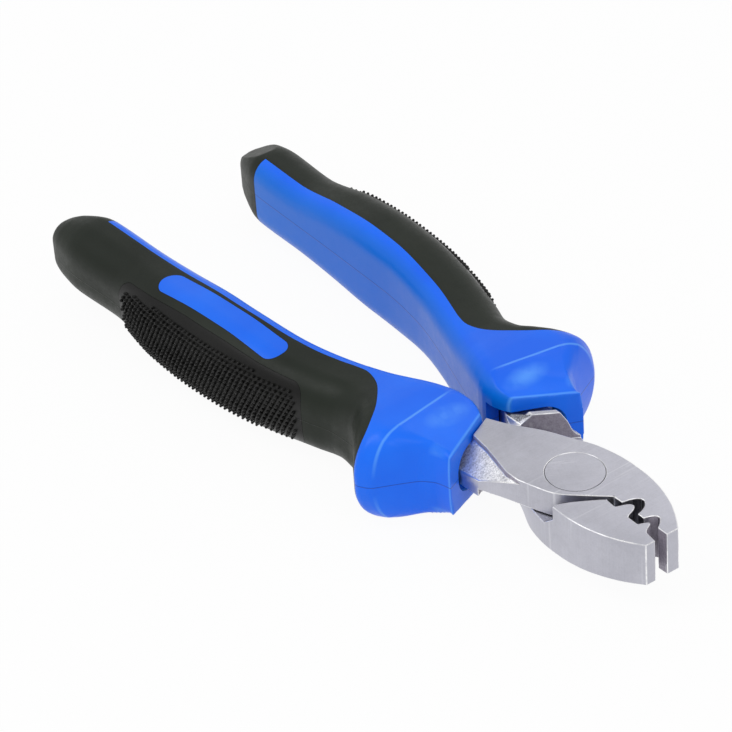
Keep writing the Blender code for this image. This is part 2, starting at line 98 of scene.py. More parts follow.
def curveValue(rows, column, x):
    # smooth curve through one column of a table, without overshoot
    key = (id(rows), column)
    if key not in lookup:
        xs = np.array([r[0] for r in rows], float)
        vs = np.array([r[column] for r in rows], float)
        step = np.diff(xs)
        slope = np.diff(vs) / step
        lean = np.zeros(len(xs))
        for i in range(1, len(xs) - 1):
            if slope[i - 1] * slope[i] > 0:
                w1, w2 = 2 * step[i] + step[i - 1], step[i] + 2 * step[i - 1]
                lean[i] = (w1 + w2) / (w1 / slope[i - 1] + w2 / slope[i])
        lean[0], lean[-1] = slope[0], slope[-1]
        lookup[key] = xs, vs, step, lean
    xs, vs, step, lean = lookup[key]
    i = int(np.clip(np.searchsorted(xs, x) - 1, 0, len(xs) - 2))
    t = (x - xs[i]) / step[i]
    return float((2 * t**3 - 3 * t**2 + 1) * vs[i] + (t**3 - 2 * t**2 + t) * step[i] * lean[i]
                 + (3 * t**2 - 2 * t**3) * vs[i + 1] + (t**3 - t**2) * step[i] * lean[i + 1])


def flow(points, step):
    # evenly spaced points on a smooth line through the given ones
    line = [np.array(p, float) for p in points]
    line = [2 * line[0] - line[1]] + line + [2 * line[-1] - line[-2]]
    out = []
    for a, b, c, d in zip(line, line[1:], line[2:], line[3:]):
        count = max(1, round(np.linalg.norm(c - b) / step))
        for k in range(count):
            t = k / count
            out.append(0.5 * (2 * b + (c - a) * t + (2 * a - 5 * b + 4 * c - d) * t * t
                              + (3 * b - a - 3 * c + d) * t**3))
    return [tuple(p) for p in out] + [tuple(points[-1])]


def plateFrom(name, outline, low, high, plane="XY"):
    # a filled ring whose corners are laid on the outline, then extruded
    deselectAll()
    bpy.ops.mesh.primitive_circle_add(vertices=len(outline), radius=1.0, fill_type="NGON", location=(0, 0, 0))
    piece = bpy.context.object
    piece.name = name
    for v, (a, b) in zip(piece.data.vertices, outline):
        v.co = world({"XY": (a, b, low), "XZ": (a, low, b), "YZ": (low, a, b)}[plane])
    push = Vector({"XY": (0, 0, 1), "XZ": (0, 1, 0), "YZ": (1, 0, 0)}[plane]) * (high - low) * mm
    bpy.ops.object.mode_set(mode="EDIT")
    bpy.ops.mesh.select_all(action="SELECT")
    bpy.ops.mesh.extrude_region_move(TRANSFORM_OT_translate={"value": push})
    bpy.ops.mesh.select_all(action="SELECT")
    bpy.ops.mesh.normals_make_consistent(inside=False)
    bpy.ops.object.mode_set(mode="OBJECT")
    return piece


def smoothShade(piece, angle):
    pick(piece)
    bpy.ops.object.shade_smooth_by_angle(angle=radians(angle), keep_sharp_edges=False)


print("shader groups")


def newGroup(name, inputs, outputs):
    group = bpy.data.node_groups.new(name, "ShaderNodeTree")
    for label, kind, value in inputs:
        socket = group.interface.new_socket(label, in_out="INPUT", socket_type=kind)
        socket.default_value = value
    for label in outputs:
        group.interface.new_socket(label, in_out="OUTPUT", socket_type="NodeSocketFloat")
    return group, group.nodes.new("NodeGroupInput"), group.nodes.new("NodeGroupOutput")


def wire(tree, pairs):
    for a, b in pairs:
        tree.links.new(a, b)


def mathNode(tree, operation, a, b, clamp=False):
    node = tree.nodes.new("ShaderNodeMath")
    node.operation = operation
    node.use_clamp = clamp
    for socket, value in zip(node.inputs, (a, b)):
        if isinstance(value, (int, float)):
            socket.default_value = value
        else:
            tree.links.new(value, socket)
    return node.outputs[0]


def rangeNode(tree, value, low, high, toLow, toHigh):
    node = tree.nodes.new("ShaderNodeMapRange")
    node.inputs["From Min"].default_value = low
    node.inputs["From Max"].default_value = high
    node.inputs["To Min"].default_value = toLow
    node.inputs["To Max"].default_value = toHigh
    tree.links.new(value, node.inputs["Value"])
    return node.outputs[0]


def noiseNode(tree, vector, scale, detail=2.0, rough=0.5):
    node = tree.nodes.new("ShaderNodeTexNoise")
    node.inputs["Detail"].default_value = detail
    node.inputs["Roughness"].default_value = rough
    tree.links.new(vector, node.inputs["Vector"])
    if isinstance(scale, (int, float)):
        node.inputs["Scale"].default_value = scale
    else:
        tree.links.new(scale, node.inputs["Scale"])
    return node.outputs["Fac"]


# grain: two sizes of speckle, for moulded and forged skins
grainGroup, gIn, gOut = newGroup("speckledGrain", (("Size", "NodeSocketFloat", 1500.0),
                                                   ("Coarse Share", "NodeSocketFloat", 0.3)), ("Grain",))
coord = grainGroup.nodes.new("ShaderNodeTexCoord").outputs["Object"]
fine = noiseNode(grainGroup, coord, gIn.outputs["Size"], 3.0)
coarse = noiseNode(grainGroup, coord, mathNode(grainGroup, "MULTIPLY", gIn.outputs["Size"], 0.22), 1.0)
mixed = mathNode(grainGroup, "ADD", fine, mathNode(grainGroup, "MULTIPLY", mathNode(
    grainGroup, "SUBTRACT", coarse, fine), gIn.outputs["Coarse Share"]))
wire(grainGroup, [(mixed, gOut.inputs["Grain"])])

# brushing: streaks left by the grinding belt, long in one direction
brushGroup, gIn, gOut = newGroup("beltStreaks", (
    ("Along", "NodeSocketFloat", 60.0), ("Across", "NodeSocketFloat", 2500.0), ("Turn", "NodeSocketFloat", 0.0)),
    ("Streaks", "Scratches"))
coord = brushGroup.nodes.new("ShaderNodeTexCoord").outputs["Object"]
turned = brushGroup.nodes.new("ShaderNodeVectorRotate")
turned.rotation_type = "Z_AXIS"
stretch = brushGroup.nodes.new("ShaderNodeCombineXYZ")
scaled = brushGroup.nodes.new("ShaderNodeVectorMath")
scaled.operation = "MULTIPLY"
wire(brushGroup, [(coord, turned.inputs["Vector"]), (gIn.outputs["Turn"], turned.inputs["Angle"]),
                  (gIn.outputs["Across"], stretch.inputs["X"]), (gIn.outputs["Along"], stretch.inputs["Y"]),
                  (gIn.outputs["Along"], stretch.inputs["Z"]), (turned.outputs[0], scaled.inputs[0]),
                  (stretch.outputs[0], scaled.inputs[1])])
streaks = noiseNode(brushGroup, scaled.outputs[0], 1.0, 4.0, 0.6)
deep = noiseNode(brushGroup, scaled.outputs[0], 0.31, 2.0)
wire(brushGroup, [(streaks, gOut.inputs["Streaks"]),
                  (rangeNode(brushGroup, deep, 0.64, 0.74, 0.0, 1.0), gOut.inputs["Scratches"])])

# the collar's cut faces: a point and direction of the front, a point of the crease, slope and skew of the facets;
# then the crease line smoothed into the form (start, end, reach, rounds) and the painted highlight spots on the
# facets (centre along and across, reach along and across)
collarSet = {"front": ((-26.0, -4.5), (13.0, 6.2)), "crease": (-34.6, -5.75), "slope": 0.31, "skew": 0.163,
             "softCrease": ((-31.6, -24.6, 11.4), (-20.6, -19.4, 8.1), 2.4, 40),
             "sheen": ((-29.3, 10.8, 3.0, 6.5), (-22.8, 19.6, 2.2, 3.2))}

# collar's painted light: painted highlight lines along the rear crease and the front lip, painted sheen spots on the
# facets, and painted shade on the side that faces the other grip; alike on both grips
collarGroup, gIn, gOut = newGroup("collarPaintedLight", (), ("Crease", "PaintedSheen", "InnerShade"))
coord = collarGroup.nodes.new("ShaderNodeTexCoord").outputs
split, facing = (collarGroup.nodes.new("ShaderNodeSeparateXYZ") for k in range(2))
wire(collarGroup, [(coord["Object"], split.inputs[0]), (coord["Normal"], facing.inputs[0])])


def collarMath(operation, a, b=0.0):
    return mathNode(collarGroup, operation, a, b)


def ramp(value, low, high, toLow=0.0, toHigh=1.0):
    return rangeNode(collarGroup, value, low, high, toLow, toHigh)


def squared(value, middle, reach):
    share = collarMath("ABSOLUTE", collarMath("DIVIDE", collarMath("SUBTRACT", value, middle), reach))
    return collarMath("POWER", share, 2.0)


# mm from the pivot along the grip, and without sign across it and up
along = collarMath("SUBTRACT", collarMath("DIVIDE", split.outputs["X"], mm), pivotSpot.x)
across = collarMath("ABSOLUTE", collarMath("DIVIDE", split.outputs["Y"], mm))
high = collarMath("ABSOLUTE", collarMath("SUBTRACT", collarMath("DIVIDE", split.outputs["Z"], mm), pivotSpot.z))
creaseX, creaseY = collarSet["crease"]
skewed = collarMath("MULTIPLY", collarMath("ADD", across, creaseY), collarSet["skew"])
away = collarMath("ABSOLUTE", collarMath("SUBTRACT", collarMath("SUBTRACT", along, creaseX), skewed))
# painted highlight: a light line along the rear crease of the facets
rear = collarMath("MULTIPLY", ramp(away, 0.1, 0.42, 1.0, 0.0),
                  collarMath("MULTIPLY", ramp(high, 2.0, 9.0), ramp(across, 5.0, 9.0)))
(frontX, frontY), (leanX, leanY) = collarSet["front"]
behind = collarMath("DIVIDE", collarMath(
    "SUBTRACT", collarMath("MULTIPLY", collarMath("ADD", across, frontY), leanY),
    collarMath("MULTIPLY", collarMath("SUBTRACT", along, frontX), leanX)), Vector((leanX, leanY)).length)
# painted highlight: a light line just behind the front face, along the lip
lip = collarMath("MULTIPLY", ramp(behind, 0.0, 0.3), ramp(behind, 0.35, 0.75, 1.0, 0.0))
# painted highlight: soft pale spots on the upper and lower facets, broken up by noise
spots = [ramp(collarMath("SQRT", collarMath("ADD", squared(along, cx, rx), squared(across, cy, ry))),
              0.15, 1.0, 1.0, 0.0) for cx, cy, rx, ry in collarSet["sheen"]]
cloud = ramp(noiseNode(collarGroup, coord["Object"], 260.0, 2.0), 0.35, 0.6, 0.35, 1.0)
sheen = collarMath("MULTIPLY", collarMath("MAXIMUM", *spots), collarMath("MULTIPLY", cloud, ramp(high, 6.5, 7.5)))
# painted shade: the side whose normals face the other grip
inward = collarMath("MULTIPLY", collarMath("SIGN", split.outputs["Y"]), facing.outputs["Y"])
wire(collarGroup, [(collarMath("MAXIMUM", rear, lip), gOut.inputs["Crease"]), (sheen, gOut.inputs["PaintedSheen"]),
                   (ramp(inward, -0.95, -0.4, 1.0, 0.0), gOut.inputs["InnerShade"])])

# blotches: slow drift of tone over a surface
blotchGroup, gIn, gOut = newGroup("slowBlotches", (("Size", "NodeSocketFloat", 60.0),), ("Tone",))
coord = blotchGroup.nodes.new("ShaderNodeTexCoord").outputs["Object"]
wire(blotchGroup, [(noiseNode(blotchGroup, coord, gIn.outputs["Size"], 3.0), gOut.inputs["Tone"])])


def newMaterial(name, metallic, roughness):
    mat = bpy.data.materials.new(name)
    mat.use_nodes = True
    shader = mat.node_tree.nodes["Principled BSDF"]
    shader.inputs["Metallic"].default_value = metallic
    shader.inputs["Roughness"].default_value = roughness
    return mat, mat.node_tree, shader


def useGroup(tree, group, **values):
    node = tree.nodes.new("ShaderNodeGroup")
    node.node_tree = group
    for label, value in values.items():
        node.inputs[label.replace("_", " ")].default_value = value
    return node.outputs


def blendColours(tree, mask, low, high):
    node = tree.nodes.new("ShaderNodeMix")
    node.data_type = "RGBA"
    for socket, value in ((node.inputs[6], low), (node.inputs[7], high)):
        if isinstance(value, tuple):
            socket.default_value = (*value, 1.0)
        else:
            tree.links.new(value, socket)
    tree.links.new(mask, node.inputs[0])
    return node.outputs[2]


def bumpFrom(tree, shader, layers):
    # layers are (height, strength, distance in mm), laid one over the other
    last = None
    for height, strength, depth in layers:
        bump = tree.nodes.new("ShaderNodeBump")
        bump.inputs["Strength"].default_value = strength
        bump.inputs["Distance"].default_value = depth * mm
        tree.links.new(height, bump.inputs["Height"])
        if last:
            tree.links.new(last, bump.inputs["Normal"])
        last = bump.outputs[0]
    tree.links.new(last, shader.inputs["Normal"])


print("steel, plastic and rubber")
steelLook = {"dark": (0.45, 0.45, 0.505), "light": (0.59, 0.59, 0.655), "nick": (0.84, 0.84, 0.88),
             "roughLow": 0.34, "roughHigh": 0.46, "streakDepth": 0.006}


def groundSteel(name, turn, along, look=steelLook):
    mat, tree, shader = newMaterial(name, 1.0, 0.38)
    belt = useGroup(tree, brushGroup, Along=along, Across=2600.0, Turn=turn)
    tone = useGroup(tree, blotchGroup, Size=60.0)["Tone"]
    speck = useGroup(tree, grainGroup, Size=2400.0, Coarse_Share=0.4)["Grain"]
    mask = mathNode(tree, "ADD", mathNode(tree, "MULTIPLY", belt["Streaks"], 0.15), mathNode(
        tree, "ADD", mathNode(tree, "MULTIPLY", tone, 0.45), mathNode(tree, "MULTIPLY", speck, 0.4)))
    plain = blendColours(tree, rangeNode(tree, mask, 0.36, 0.64, 0.0, 1.0), look["dark"], look["light"])
    tree.links.new(blendColours(tree, mathNode(tree, "MULTIPLY", belt["Scratches"], 0.32), plain, look["nick"]),
                   shader.inputs["Base Color"])
    tree.links.new(rangeNode(tree, speck, 0.3, 0.7, look["roughLow"], look["roughHigh"]), shader.inputs["Roughness"])
    bumpFrom(tree, shader, [(belt["Streaks"], 0.14, look["streakDepth"]), (speck, 0.35, 0.01)])
    return mat


def forgedSteel(name, metal, dark, light, depth):
    mat, tree, shader = newMaterial(name, metal, 0.45)
    grain = useGroup(tree, grainGroup, Size=2600.0, Coarse_Share=0.3)["Grain"]
    belt = useGroup(tree, brushGroup, Along=500.0, Across=2200.0, Turn=0.6)
    mask = mathNode(tree, "ADD", mathNode(tree, "MULTIPLY", grain, 0.7),
                    mathNode(tree, "MULTIPLY", belt["Streaks"], 0.3))
    plain = blendColours(tree, rangeNode(tree, mask, 0.38, 0.62, 0.0, 1.0), dark, light)
    tree.links.new(blendColours(tree, mathNode(tree, "MULTIPLY", belt["Scratches"], 0.5), plain, (0.9, 0.9, 0.93)),
                   shader.inputs["Base Color"])
    tree.links.new(rangeNode(tree, grain, 0.3, 0.7, 0.52, 0.34), shader.inputs["Roughness"])
    bumpFrom(tree, shader, [(belt["Streaks"], 0.5, depth), (grain, 0.7, depth)])
    return mat


def polishedEdge(name):
    mat, tree, shader = newMaterial(name, 1.0, 0.3)
    speck = useGroup(tree, grainGroup, Size=900.0, Coarse_Share=0.5)["Grain"]
    tree.links.new(blendColours(tree, rangeNode(tree, speck, 0.4, 0.6, 0.0, 1.0), (0.66, 0.66, 0.70),
                                (0.95, 0.95, 0.96)), shader.inputs["Base Color"])
    tree.links.new(rangeNode(tree, speck, 0.3, 0.7, 0.40, 0.24), shader.inputs["Roughness"])
    bumpFrom(tree, shader, [(speck, 0.2, 0.01)])
    return mat


def partingLine(tree, width):
    # thin ridge where the two halves of the mould met, at half thickness
    coord = tree.nodes.new("ShaderNodeTexCoord").outputs["Object"]
    split = tree.nodes.new("ShaderNodeSeparateXYZ")
    tree.links.new(coord, split.inputs[0])
    away = mathNode(tree, "ABSOLUTE", mathNode(tree, "SUBTRACT", split.outputs["Z"], pivotSpot.z * mm), 0.0)
    return rangeNode(tree, away, 0.0, width * mm, 1.0, 0.0)


def bluePlastic(name, deep, bright):
    mat, tree, shader = newMaterial(name, 0.0, 0.34)
    shader.inputs["Specular IOR Level"].default_value = 0.28
    tone = useGroup(tree, blotchGroup, Size=45.0)["Tone"]
    grain = useGroup(tree, grainGroup, Size=2200.0, Coarse_Share=0.4)["Grain"]
    marks = useGroup(tree, collarGroup)
    line = partingLine(tree, 0.2)
    plain = blendColours(tree, rangeNode(tree, tone, 0.35, 0.65, 0.0, 1.0), deep, bright)
    # painted shade: up to 90 % deeper blue on the side that faces the other grip
    shaded = blendColours(tree, mathNode(tree, "MULTIPLY", marks["InnerShade"], 0.9), plain, (0.001, 0.175, 0.70))
    # painted highlight: up to 80 % lighter blue on the sheen spots
    sheenPainted = blendColours(tree, mathNode(tree, "MULTIPLY", marks["PaintedSheen"], 0.8), shaded, (0.09, 0.34, 1.0))
    # painted highlight: up to 60 % lighter blue along the crease and lip lines
    creaseHighlighted = blendColours(tree, mathNode(tree, "MULTIPLY", marks["Crease"], 0.6), sheenPainted, (0.13, 0.42, 1.0))
    tree.links.new(blendColours(tree, mathNode(tree, "MULTIPLY", line, 0.75), creaseHighlighted, (0.004, 0.035, 0.30)),
                   shader.inputs["Base Color"])
    tree.links.new(rangeNode(tree, grain, 0.3, 0.7, 0.28, 0.40), shader.inputs["Roughness"])
    bumpFrom(tree, shader, [(grain, 0.25, 0.02), (tone, 0.3, 0.12), (line, 0.5, 0.08)])
    return mat


def blackRubber(name, dark, light, rough, shine, grainSize, depth):
    mat, tree, shader = newMaterial(name, 0.0, rough)
    shader.inputs["Specular IOR Level"].default_value = shine
    tone = useGroup(tree, blotchGroup, Size=55.0)["Tone"]
    grain = useGroup(tree, grainGroup, Size=grainSize, Coarse_Share=0.35)["Grain"]
    line = partingLine(tree, 0.16)
    tree.links.new(blendColours(tree, rangeNode(tree, tone, 0.3, 0.7, 0.0, 1.0), dark, light),
                   shader.inputs["Base Color"])
    tree.links.new(rangeNode(tree, grain, 0.3, 0.7, rough - 0.08, rough + 0.08), shader.inputs["Roughness"])
    bumpFrom(tree, shader, [(grain, 0.35, depth), (line, 0.6, 0.08)])
    return mat


materials = {"lever": groundSteel("groundSteel", 0.0, 90.0), "rivet": groundSteel("rivetSteel", 0.5, 200.0),
             "forged": forgedSteel("forgedSteel", 0.75, (0.40, 0.40, 0.43), (0.95, 0.95, 0.96), 0.05),
             # painted shade: a darker copy of the forged steel for the step wall, recess wall and tip gap, which lie
             # in shade
             "stepWall": forgedSteel("stepWallPaintedShade", 0.2, (0.27, 0.245, 0.30), (0.42, 0.39, 0.46), 0.03),
             # painted shade: a near-black copy of the steel for the crimp nests, which lie in shade
             "nest": forgedSteel("nestPaintedShade", 1.0, (0.10, 0.10, 0.125), (0.20, 0.20, 0.235), 0.02),
             "edge": polishedEdge("polishedEdge"),
             "blue": bluePlastic("bluePlastic", (0.003, 0.130, 0.88), (0.005, 0.165, 0.97)),
             "inlay": bluePlastic("inlayPlastic", (0.004, 0.125, 0.84), (0.006, 0.158, 0.93)),
             "black": blackRubber("softBlackRubber", (0.009, 0.0125, 0.0085), (0.016, 0.021, 0.015), 0.44, 0.2,
                                  2400.0, 0.02),
             "pad": blackRubber("pimpleRubber", (0.003, 0.003, 0.0028), (0.007, 0.007, 0.0066), 0.36, 0.25,
                                2800.0, 0.03)}

print("steel levers and rivet")
leverSet = {"edge": 0.19, "edgeSteps": 2, "sharpAngle": 28.0, "forgedTilt": (0.12, 0.985),
            "weld": 0.02, "flatAngle": 0.6, "forgedEnd": -5.0, "facing": 0.7, "nestTurn": 0.35, "tipFace": 0.9,
            "stepWall": (-23.2, -14.0), "recessWall": (-24.0, -6.0, 11.2), "nests": (11.0, 27.7, 5.2),
            "flatStart": 21.2}


def dressLever(node, name, body, jawSide):
    piece = bpy.data.objects.new(name, nodes[node].data.copy())
    bpy.context.scene.collection.objects.link(piece)
    piece.data.materials.clear()
    for finish in ("lever", "forged", "stepWall", "nest", "edge"):
        piece.data.materials.append(materials[finish])
    pick(piece)
    bpy.ops.object.mode_set(mode="EDIT")
    bpy.ops.mesh.select_all(action="SELECT")
    bpy.ops.mesh.remove_doubles(threshold=leverSet["weld"] * mm)
    bpy.ops.mesh.dissolve_limited(angle_limit=radians(leverSet["flatAngle"]))
    bpy.ops.object.mode_set(mode="OBJECT")
    low, high = leverSet["forgedTilt"]
    for face in piece.data.polygons:
        centre, normal = Vector(face.center) / mm - pivotSpot, face.normal
        if abs(normal.z) > low:
            face.material_index = int(abs(normal.z) < high and centre.x < leverSet["forgedEnd"])
        # painted shade: the step wall and the recess wall get the darker stepWall steel
        elif leverSet["stepWall"][0] < centre.x < leverSet["stepWall"][1] and normal.x > leverSet["facing"]:
            face.material_index = 2
        elif (leverSet["recessWall"][0] < centre.x < leverSet["recessWall"][1]
              and abs(centre.y) < leverSet["recessWall"][2] and normal.y * jawSide < -leverSet["facing"]):
            face.material_index = 2
        # painted shade: the crimp nests get the near-black nest steel, and the tip gap beyond flatStart the darker
        # stepWall steel
        elif (leverSet["nests"][0] < centre.x < leverSet["nests"][1] and abs(centre.y) < leverSet["nests"][2]
              and normal.y * jawSide < leverSet["nestTurn"] and normal.x < leverSet["tipFace"]):
            face.material_index = 2 if centre.x > leverSet["flatStart"] else 3
    bevel = piece.modifiers.new("edges", "BEVEL")
    bevel.width = leverSet["edge"] * mm
    bevel.segments = leverSet["edgeSteps"]
    bevel.limit_method = "ANGLE"
    bevel.angle_limit = radians(leverSet["sharpAngle"])
    bevel.use_clamp_overlap = False
    bevel.harden_normals = True
    bevel.material = 4
    smoothShade(piece, leverSet["sharpAngle"])
    finishModifiers(piece)
    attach(piece, body)
    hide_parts(node)
    return piece


nearLever = dressLever("lever_a", "near_lever", "upper_lever", 1)
farLever = dressLever("lever_b", "far_lever", "lower_lever", -1)

rivetSet = {"radius": 6.42, "thickness": 12.6, "taper": 2.2, "edge": 0.06, "sides": 128}
deselectAll()
bpy.ops.mesh.primitive_cylinder_add(vertices=rivetSet["sides"], radius=rivetSet["radius"] * mm,
                                    depth=2 * rivetSet["thickness"] * mm, location=pivotSpot * mm)
rivet = bpy.context.object
rivet.name = "flush_rivet"
bpy.ops.object.transform_apply(location=True, rotation=True, scale=True)
lean = (sin(radians(rivetSet["taper"])), 0.0, cos(radians(rivetSet["taper"])))
cutPlane(rivet, (0.0, 0.0, rivetSet["thickness"] / 2), lean)
cutPlane(rivet, (0.0, 0.0, -rivetSet["thickness"] / 2), (lean[0], 0.0, -lean[2]))
bevel = rivet.modifiers.new("edges", "BEVEL")
bevel.width = rivetSet["edge"] * mm
bevel.segments = 2
bevel.limit_method = "ANGLE"
bevel.angle_limit = radians(40)
bevel.harden_normals = True
smoothShade(rivet, 30)
finishModifiers(rivet)
rivet.data.materials.append(materials["rivet"])
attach(rivet, "upper_lever")
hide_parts("pivot_rivet")

print("grip form")
# sections of the grip: x, inner side, outer side, half thickness, outer corner width and height
gripSet = {
    "sections": ((-155.6, 24.9, 29.9, 3.8, 2.0, 2.2), (-154.4, 23.0, 31.3, 5.9, 3.6, 3.6),
                 (-150.0, 20.6, 32.6, 8.1, 6.0, 5.5), (-143.0, 18.7, 33.3, 9.4, 7.5, 7.0),
                 (-128.0, 18.1, 32.7, 9.3, 7.5, 7.5), (-112.0, 17.6, 34.0, 10.6, 8.0, 8.0),
                 (-97.0, 17.0, 33.5, 11.7, 8.0, 8.0), (-88.0, 16.6, 32.9, 11.7, 8.0, 8.0),
                 (-74.0, 14.7, 31.0, 10.7, 7.5, 7.5), (-60.0, 10.8, 27.3, 10.0, 7.0, 7.0),
                 (-52.0, 8.1, 25.1, 10.2, 7.0, 8.0), (-46.5, 6.2, 24.9, 10.8, 6.0, 7.0),
                 (-42.0, 4.6, 26.6, 11.4, 5.0, 6.0), (-38.0, 3.3, 29.9, 11.7, 6.5, 7.5),
                 (-34.0, 2.2, 32.8, 11.7, 9.0, 10.5), (-31.0, 2.2, 31.2, 11.7, 9.0, 11.5),
                 (-28.5, 2.8, 26.5, 11.7, 7.0, 11.5), (-26.0, 4.0, 21.8, 11.7, 4.5, 11.0),
                 (-23.0, 4.6, 19.3, 11.7, 3.5, 10.0), (-18.0, 5.0, 18.1, 11.7, 3.0, 9.0)),
    "lift": ((-156.0, 1.0), (-143.0, 1.0), (-128.0, 0.9), (-112.0, 0.2), (-98.0, 0.0), (-18.0, 0.0)),
    "endCut": ((-144.5, -26.0, -8.4), (-0.46, 0.0, -0.89)),
    "innerCorner": (4.5, 5.0), "sides": 120, "ringStep": 0.9,
    "voxel": 0.42, "soften": 4}


def sectionLine(x, inset):
    rows = gripSet["sections"]
    inner, outer, half, wide, high = (curveValue(rows, k, x) for k in range(1, 6))
    lift = curveValue(gripSet["lift"], 1, x)
    innerWide = min(gripSet["innerCorner"][0], 0.45 * (outer - inner))
    innerHigh = min(gripSet["innerCorner"][1], 0.6 * half)
    line = [(outer - inset, lift)]
    corners = ((outer, 1, 1, wide, high), (inner, -1, 1, innerWide, innerHigh),
               (inner, -1, -1, innerWide, innerHigh), (outer, 1, -1, wide, high))
    for quarter, (side, across, up, rw, rh) in enumerate(corners):
        rw, rh = max(rw - inset, 0.4), max(rh - inset, 0.4)
        cy, cz = side - across * (inset + rw), lift + up * (half - inset - rh)
        for angle in np.linspace(pi / 2 * quarter, pi / 2 * (quarter + 1), 25):
            line.append((cy + rw * cos(angle), cz + rh * sin(angle)))
    line = np.array(line + [line[0]])
    return line, np.r_[0, np.cumsum(np.linalg.norm(np.diff(line, axis=0), axis=1))]


def ringedTube(name, sides, rings):
    # a cylinder along x from 0 to 1, its long edges cut into rings
    deselectAll()
    bpy.ops.mesh.primitive_cylinder_add(vertices=sides, radius=1.0, depth=1.0, location=(0.5, 0, 0),
                                        rotation=(0, pi / 2, 0))
    bpy.ops.object.transform_apply(location=True, rotation=True, scale=True)
    piece = bpy.context.object
    piece.name = name
    bpy.ops.object.mode_set(mode="EDIT")
    bpy.ops.mesh.select_all(action="DESELECT")
    bpy.ops.mesh.select_mode(type="EDGE")
    bpy.ops.object.mode_set(mode="OBJECT")
    for edge in piece.data.edges:
        a, b = (piece.data.vertices[i].co.x for i in edge.vertices)
        edge.select = abs(a - b) > 0.5
    bpy.ops.object.mode_set(mode="EDIT")
    bpy.ops.mesh.subdivide(number_cuts=rings - 1)
    bpy.ops.object.mode_set(mode="OBJECT")
    return piece


def faceOutward(piece):
    pick(piece)
    bpy.ops.object.mode_set(mode="EDIT")
    bpy.ops.mesh.select_all(action="SELECT")
    bpy.ops.mesh.normals_make_consistent(inside=False)
    bpy.ops.object.mode_set(mode="OBJECT")
    return piece


def gripForm(name, x0, x1, inset, sides=60, ringStep=2.5):
    # a ringed tube whose rings are laid on the grip's sections, inset by so much
    rings = max(2, round((x1 - x0) / ringStep))
    piece = ringedTube(name, sides, rings)
    lines = {}
    for v in piece.data.vertices:
        ring = round(v.co.x * rings)
        if ring not in lines:
            lines[ring] = sectionLine(x0 + (x1 - x0) * ring / rings, inset)
        line, run = lines[ring]
        share = atan2(v.co.z, -v.co.y) / (2 * pi) % 1.0 * run[-1]
        y, z = np.interp(share, run, line[:, 0]), np.interp(share, run, line[:, 1])
        v.co = world((x0 + (x1 - x0) * ring / rings, -y, z))
    return faceOutward(piece)


softForm = gripForm("grip_form", -155.6, -18.0, 0.0, gripSet["sides"], gripSet["ringStep"])
for way in (1, -1):
    cutPlane(softForm, (*collarSet["crease"], 11.7 * way),
             (collarSet["slope"], collarSet["slope"] * collarSet["skew"], way))
cutPlane(softForm, (*collarSet["front"][0], 0.0), (*collarSet["front"][1], 0.0))
cutPlane(softForm, *gripSet["endCut"])
pick(softForm)
softForm.data.remesh_voxel_size = gripSet["voxel"] * mm
bpy.ops.object.voxel_remesh()
soft = softForm.modifiers.new("soften", "SMOOTH")
soft.factor = 0.5
soft.iterations = gripSet["soften"]
finishModifiers(softForm)
bpy.ops.object.mode_set(mode="EDIT")
bpy.ops.mesh.select_mode(type="VERT")
bpy.ops.mesh.select_all(action="DESELECT")
bpy.ops.object.mode_set(mode="OBJECT")
start, end, reach, rounds = collarSet["softCrease"]
start, run = Vector(start), Vector(end) - Vector(start)
for v in softForm.data.vertices:
    spot = v.co / mm - pivotSpot
    spot.z = abs(spot.z)
    share = (spot - start).dot(run) / run.length_squared
    v.select = -0.1 < share < 1.1 and (spot - start - share * run).length < reach
bpy.ops.object.mode_set(mode="EDIT")
bpy.ops.mesh.vertices_smooth(factor=0.5, repeat=rounds)
bpy.ops.object.mode_set(mode="OBJECT")
print("  faces", len(softForm.data.polygons))

print("blue core, black overmould, pad and inlay")
skinSet = {"thick": 2.4, "hair": 0.03, "capEdge": -142.5,
           "line": ((-142.5, 22.6), (-126.0, 22.0), (-113.0, 21.8), (-102.0, 21.4), (-90.0, 20.8), (-79.0, 19.6),
                    (-69.0, 17.8), (-62.0, 15.8), (-57.0, 14.2), (-53.3, 13.7), (-48.6, 15.2), (-43.9, 18.6),
                    (-40.0, 22.2), (-36.6, 26.6), (-35.2, 30.0), (-34.4, 36.0))}
coreSet = {"heart": (-139.5, -38.0), "mouthHalf": 5.5, "mouthOuter": 15.0, "mouthRound": 4.6,
           "mouthDepth": -33.0}
tangSet = {"rows": ((-130.0, 22.2, 27.8, 3.2), (-105.0, 21.4, 28.6, 3.9), (-75.0, 19.0, 26.4, 4.2),
                    (-52.0, 12.4, 20.6, 4.4), (-36.0, 6.8, 15.8, 4.6), (-25.0, 3.6, 14.3, 4.8)),
           "gap": 0.3, "corner": 1.5}
padSet = {"back": -123.0, "front": -61.7, "edge": 3.0, "border": 1.0, "inner": 22.0, "thick": 1.3, "round": 3.5,
          "sink": 0.06, "pitch": 1.4, "row": 1.24, "rows": 8, "tall": 0.80, "foot": 0.45, "top": 0.25,
          "tipRound": 0.13, "margin": (0.8, 0.6, 0.45), "lean": 9.0, "scatter": (12.9, 7.3)}
inlaySet = {"centre": (-92.5, 25.2), "long": 42.0, "wide": 6.6, "round": 3.1, "turn": -3.6, "thick": 1.2}


def copyOf(piece, name):
    new = bpy.data.objects.new(name, piece.data.copy())
    bpy.context.scene.collection.objects.link(new)
    return new


